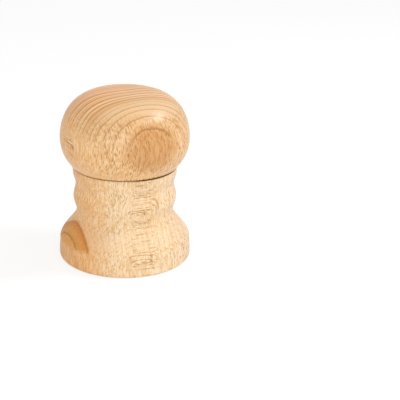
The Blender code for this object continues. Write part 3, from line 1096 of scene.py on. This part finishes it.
def beech(name, block):
    """Beech as a solid: rings, rays, pores and curls, all cut by the surface wherever it runs."""
    g = Graph(name)
    spot = tree_spot(g, block)
    normal = g.coordinates("Normal")
    up = g.axis(normal, 2)
    side_grain = g.ease(g.math("ABSOLUTE", up), *SIDE_GRAIN)
    flat_sawn = g.math("ABSOLUTE", g.vector("DOT_PRODUCT", normal, spot.ray_way))

    colour, line = ring_colour(g, block, spot, up, flat_sawn)
    colour, streaks, pores = streaked(g, block, spot, colour, side_grain)
    colour = g.mix(g.product(line, g.ease(streaks, *LINE_IN_STREAKS)), colour, RING_LINE_COLOUR)
    colour, ray = ray_colour(g, block, spot, colour, flat_sawn, side_grain)
    colour = g.mix(curl_share(g, block, spot), colour, RAY_COLOUR)
    # Painted shade darkens the seam's gap, most towards its shaded side.
    g.surface("Base Color", g.mix(seam_shade_share(g, block, spot), colour, SEAM_SHADE_COLOUR))

    dullness = g.ease(g.math("ADD", pores, ray), *DULLNESS)
    g.surface("Roughness", g.math("ADD", dullness, block.roughness))
    g.surface("IOR", WOOD_IOR)
    g.surface("Specular IOR Level", block.gloss)
    relief = g.math("SUBTRACT", g.product(pores, PORE_RELIEF), g.product(ray, RAY_RELIEF))
    g.bump(relief, WOOD_RELIEF_DEPTH)
    return g.material


def metal(name, finish, is_turned):
    """Metal with fine lines, which run round the axis on a turned piece or else along x."""
    g = Graph(name)
    colour, roughness = finish
    place = g.place()
    if is_turned:
        across = g.scaled(g.combine(g.radius(place), 0.0, g.axis(place, 2)), TURNED_LINES)
    else:
        across = g.stretched(place, *STRIP_LINES)
    lines = g.noise(across, detail=3.0, roughness=0.6)
    cloud = g.noise(g.scaled(place, CLOUDS))
    g.surface("Metallic", 1.0)
    g.surface("Base Color", g.tint(g.ease(lines, *LINE_TINT_SHARE), rgb(*colour), *LINE_TINT))
    worn = g.math("ADD", g.ease(lines, *LINE_WEAR), g.ease(cloud, *CLOUD_WEAR))
    g.surface("Roughness", g.math("ADD", worn, roughness))
    g.bump(lines, METAL_RELIEF_DEPTH)
    return g.material


def seen_rays(nodes, links):
    """1 for camera, glossy and transmission rays, or else 0."""
    path = nodes.new("ShaderNodeLightPath")
    result = path.outputs["Is Camera Ray"]
    for name in ("Is Glossy Ray", "Is Transmission Ray"):
        either = nodes.new("ShaderNodeMath")
        either.operation = "MAXIMUM"
        links.new(result, either.inputs[0])
        links.new(path.outputs[name], either.inputs[1])
        result = either.outputs[0]
    return result


def floor_material():
    """A pale floor that lights the mold as a floor does, and looks white with a soft shadow."""
    g = Graph("pale_floor")
    g.nodes.remove(g.shader)
    plain = g.nodes.new("ShaderNodeBsdfDiffuse")
    plain.inputs["Color"].default_value = rgb(FLOOR_TONE, FLOOR_TONE, FLOOR_TONE)
    shade = g.nodes.new("ShaderNodeBsdfDiffuse")
    shade.inputs["Color"].default_value = rgb(FLOOR_SHADE, FLOOR_SHADE, FLOOR_SHADE)
    glow = g.nodes.new("ShaderNodeEmission")
    glow.inputs["Strength"].default_value = FLOOR_GLOW
    white = g.nodes.new("ShaderNodeAddShader")
    g.links.new(shade.outputs[0], white.inputs[0])
    g.links.new(glow.outputs[0], white.inputs[1])
    either = g.nodes.new("ShaderNodeMixShader")
    g.links.new(seen_rays(g.nodes, g.links), either.inputs[0])
    g.links.new(plain.outputs[0], either.inputs[1])
    g.links.new(white.outputs[0], either.inputs[2])
    g.links.new(either.outputs[0], g.output.inputs["Surface"])
    return g.material


# Stage, light and camera


def add_floor():
    work = bmesh.new()
    bmesh.ops.create_circle(work, cap_ends=True, segments=FLOOR_SEGMENTS, radius=FLOOR_RADIUS * MM)
    mesh = finished("floor", work)
    mesh.materials.append(floor_material())
    floor = bpy.data.objects.new("floor", mesh)
    bpy.context.scene.collection.objects.link(floor)


def add_world():
    """An even white surround, at the ambient level for light and at full white where it is seen."""
    world = bpy.data.worlds.new("surround")
    bpy.context.scene.world = world
    world.use_nodes = True
    nodes, links = world.node_tree.nodes, world.node_tree.links
    level = nodes.new("ShaderNodeMapRange")
    level.inputs["To Min"].default_value = AMBIENT
    level.inputs["To Max"].default_value = 1.0
    links.new(seen_rays(nodes, links), level.inputs["Value"])
    backdrop = nodes["Background"]
    backdrop.inputs["Color"].default_value = rgb(1.0, 1.0, 1.0)
    links.new(level.outputs[0], backdrop.inputs["Strength"])


def add_softboxes():
    target = Vector((0, 0, BODY_HIGH.z))
    for name, azimuth, elevation, distance, width, power in SOFTBOXES:
        lamp = bpy.data.lights.new(name, "AREA")
        lamp.size = width * MM
        lamp.energy = power
        angle = math.radians(elevation)
        away = facing(azimuth) * math.cos(angle) + Vector((0, 0, math.sin(angle)))
        softbox = bpy.data.objects.new(name, lamp)
        softbox.location = (target + away * distance) * MM
        softbox.rotation_euler = away.to_track_quat("Z", "Y").to_euler()
        bpy.context.scene.collection.objects.link(softbox)


def add_camera():
    data = bpy.data.cameras.new("camera")
    data.lens = CAMERA_LENS
    data.shift_x, data.shift_y = CAMERA_SHIFT
    camera = bpy.data.objects.new("camera", data)
    camera.location = Vector(CAMERA_PLACE) * MM
    away = Vector(CAMERA_PLACE) - Vector(CAMERA_TARGET)
    camera.rotation_euler = away.to_track_quat("Z", "Y").to_euler()
    bpy.context.scene.collection.objects.link(camera)
    bpy.context.scene.camera = camera


def dress_mold():
    body_beech = beech("body_beech", BODY_BLOCK)
    knob_beech = beech("knob_beech", KNOB_BLOCK)
    strip_steel = metal("strip_steel", STRIP_STEEL, is_turned=False)
    turned_steel = metal("turned_steel", TURNED_STEEL, is_turned=True)
    zinc = metal("zinc", ZINC, is_turned=True)
    brass = metal("brass", BRASS, is_turned=True)
    add_piece("turned_body", body_mesh(), body_beech, "mold", "mold_body")
    add_piece("turned_knob", knob_mesh(), knob_beech, "rotor", "knob")
    add_piece("bow_strip", bow_strip_mesh(), strip_steel, "rotor", "scraper_bow")
    add_piece("spindle_pin", spindle_mesh(), turned_steel, "rotor", "spindle")
    for node in ("lower_thrust_washer", "upper_thrust_washer"):
        mesh = washer_mesh(node, BORE_RADIUS)
        add_piece(node + "_ring", mesh, turned_steel, "mold", node)
    add_piece("spring_washer", lock_washer_mesh(), zinc, "rotor", "lock_washer")
    add_piece("insert_sleeve", insert_mesh(), brass, "rotor", "knob_insert")


add_floor()
add_world()
add_softboxes()
add_camera()
dress_mold()
bpy.context.scene.view_settings.view_transform = "Standard"
